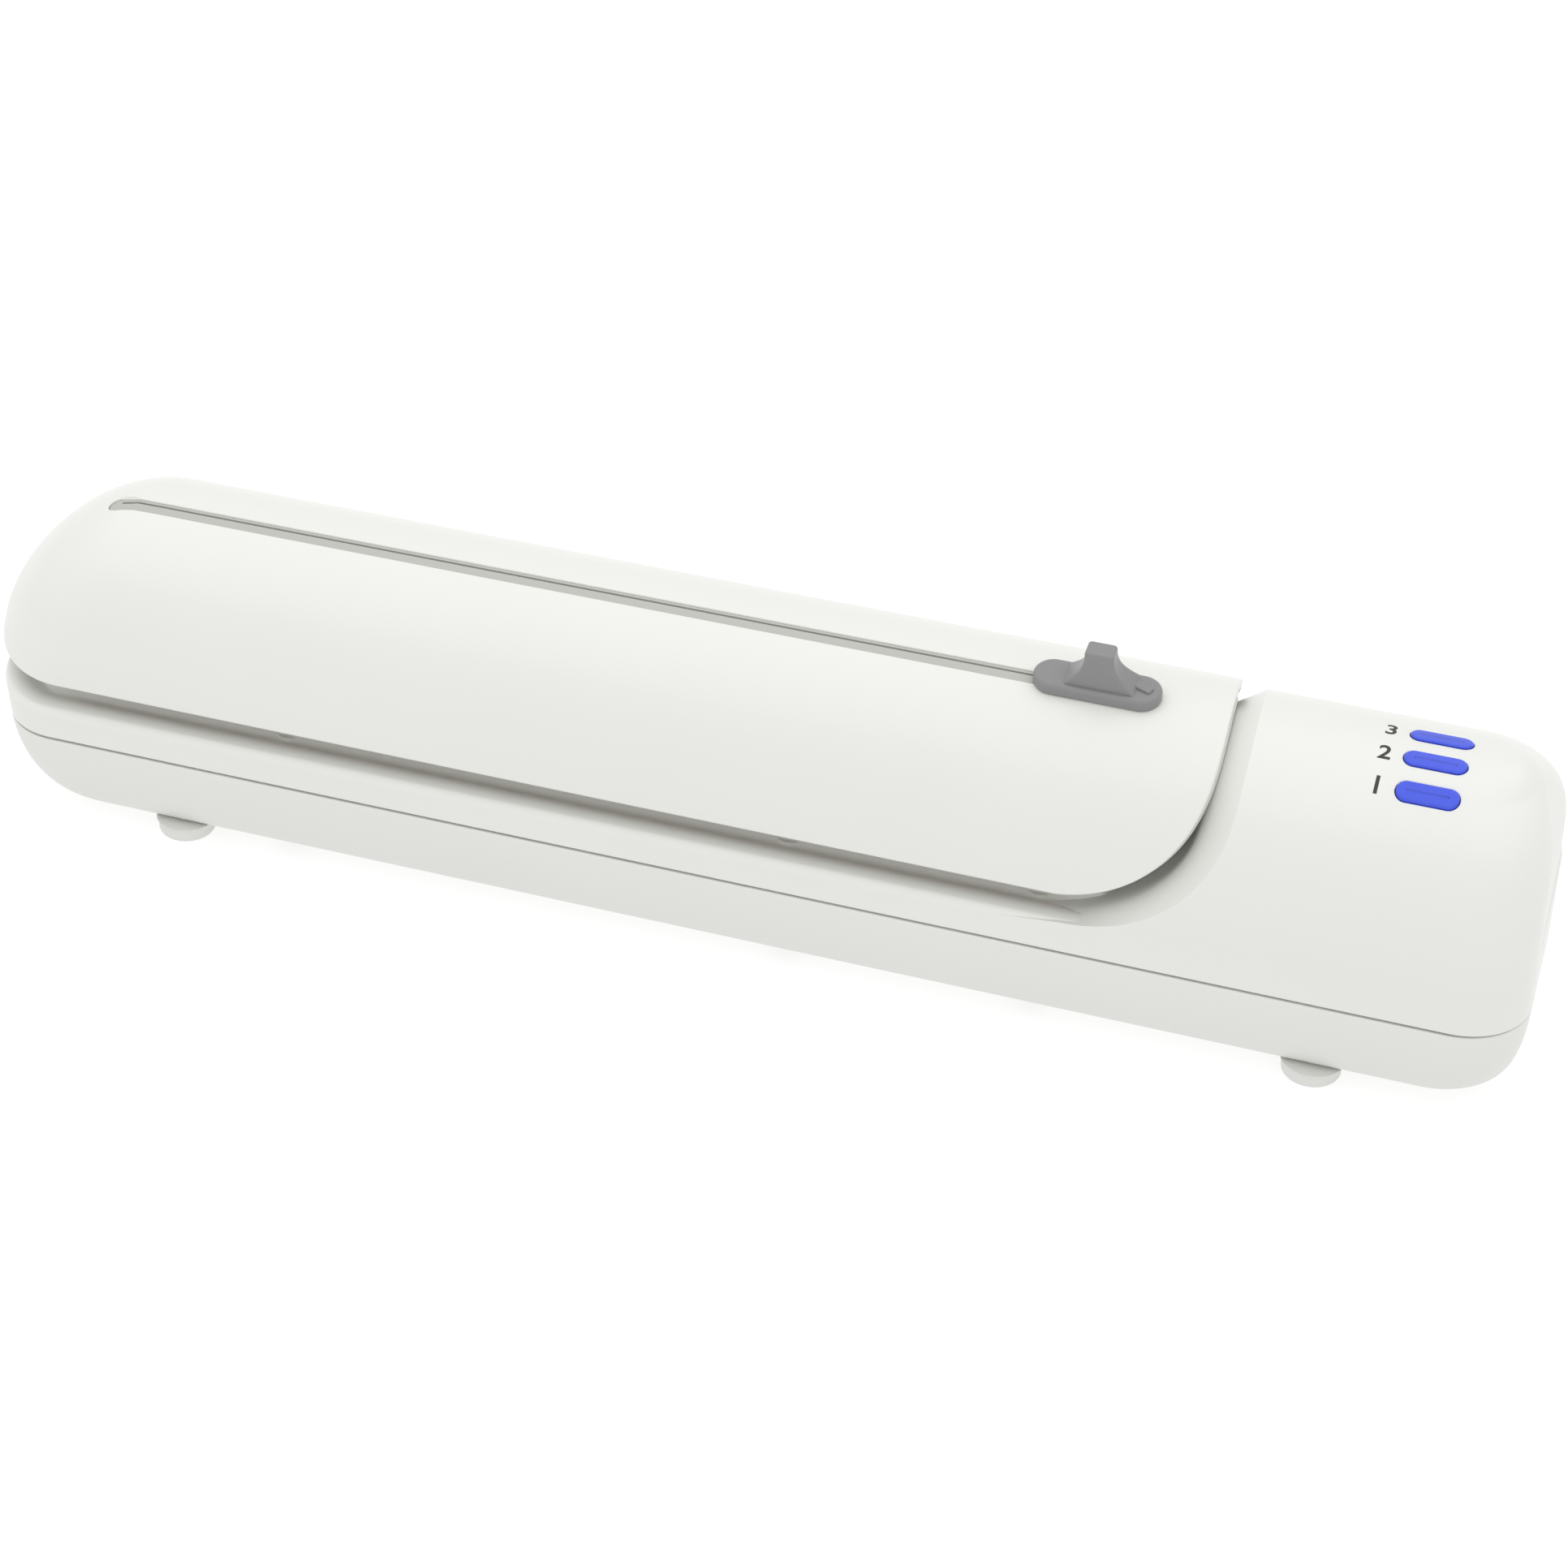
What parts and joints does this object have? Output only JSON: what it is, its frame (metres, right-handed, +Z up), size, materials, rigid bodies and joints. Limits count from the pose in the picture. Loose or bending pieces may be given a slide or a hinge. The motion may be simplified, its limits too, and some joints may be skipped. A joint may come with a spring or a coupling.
{
  "type": "vacuum sealer",
  "caption": "Slim white countertop vacuum sealer with a hinged visor lid, a sliding bag cutter on its lid and translucent blue pill buttons on the fixed housing",
  "frame": {"origin": "centre of the footprint on the plane of the feet", "axes": "+X to the right along the case, towards the control housing; -Y towards the user; +Z up"},
  "size_m": [0.375, 0.064, 0.089],
  "materials": {
    "white_gloss": "smooth injection-moulded gloss ABS",
    "grey_plastic": "fine satin grey ABS",
    "light_grey_plastic": "satin light grey ABS",
    "dark_plastic": "fine matte dark plastic",
    "blue_button": "translucent blue gloss moulding",
    "foam_seal": "closed-cell foam gasket",
    "silicone": "silicone press strip",
    "soft_white": "same-colour soft foot",
    "clear_tube": "milky silicone hose",
    "steel": "zinc-plated steel",
    "brass": "turned brass contact",
    "tape": "brown coated glass-cloth tape",
    "circuit_board": "green solder-masked laminate"
  },
  "bodies": {
    "base": {"air_tube": "clear_tube", "base_tray": "white_gloss", "button_lamp_back": "light_grey_plastic", "button_lamp_front": "light_grey_plastic", "button_lamp_middle": "light_grey_plastic", "capacitor": "dark_plastic", "case_screw_1": "steel", "case_screw_2": "steel", "case_screw_3": "steel", "case_screw_4": "steel", "case_screw_5": "steel", "case_screw_6": "steel", "control_board": "circuit_board", "control_board_screw_1": "steel", "control_board_screw_2": "steel", "control_board_screw_3": "steel", "control_board_screw_4": "steel", "foot_back_left": "soft_white", "foot_back_right": "soft_white", "foot_front_left": "soft_white", "foot_front_right": "soft_white", "heater_bar": "steel", "heater_tape": "tape", "hinge_pin_left": "steel", "hinge_pin_right": "steel", "inlet_pin_left": "brass", "inlet_pin_right": "brass", "lower_seal": "foam_seal", "mains_inlet": "dark_plastic", "pump_head": "dark_plastic", "pump_motor": "steel", "suction_nipple": "light_grey_plastic", "supply_board": "circuit_board", "supply_board_screw_1": "steel", "supply_board_screw_2": "steel", "supply_board_screw_3": "steel", "supply_board_screw_4": "steel", "tact_switch_back": "dark_plastic", "tact_switch_front": "dark_plastic", "tact_switch_middle": "dark_plastic", "transformer": "dark_plastic", "upper_case": "white_gloss"},
    "lid": {"lid_shell": "white_gloss", "lid_liner": "white_gloss", "upper_seal": "foam_seal", "press_strip": "silicone", "cutter_rail": "light_grey_plastic"},
    "cutter": {"cutter_knob": "grey_plastic", "cutter_carriage": "dark_plastic", "cutter_blade": "steel"},
    "button_back_key": {"button_back": "blue_button"},
    "button_middle_key": {"button_middle": "blue_button"},
    "button_front_key": {"button_front": "blue_button"}
  },
  "joints": [
    {"name": "lid_hinge", "type": "hinge", "parent": "base", "child": "lid", "pos_m": [0.0025, 0.028, 0.056], "axis": [-1, 0, 0], "range_deg": [0, 60]},
    {"name": "cutter_slide", "type": "slide", "parent": "lid", "child": "cutter", "axis": [-1, 0, 0], "range_m": [0, 0.227]},
    {"name": "button_back_press", "type": "slide", "parent": "base", "child": "button_back_key", "axis": [0, 0.2079, -0.9781], "range_m": [0, 0.0009], "stiffness_N_per_m": 300, "springref_m": -0.0005},
    {"name": "button_middle_press", "type": "slide", "parent": "base", "child": "button_middle_key", "axis": [0, 0.2079, -0.9781], "range_m": [0, 0.0009], "stiffness_N_per_m": 300, "springref_m": -0.0005},
    {"name": "button_front_press", "type": "slide", "parent": "base", "child": "button_front_key", "axis": [0, 0.2079, -0.9781], "range_m": [0, 0.0009], "stiffness_N_per_m": 300, "springref_m": -0.0005}
  ]
}
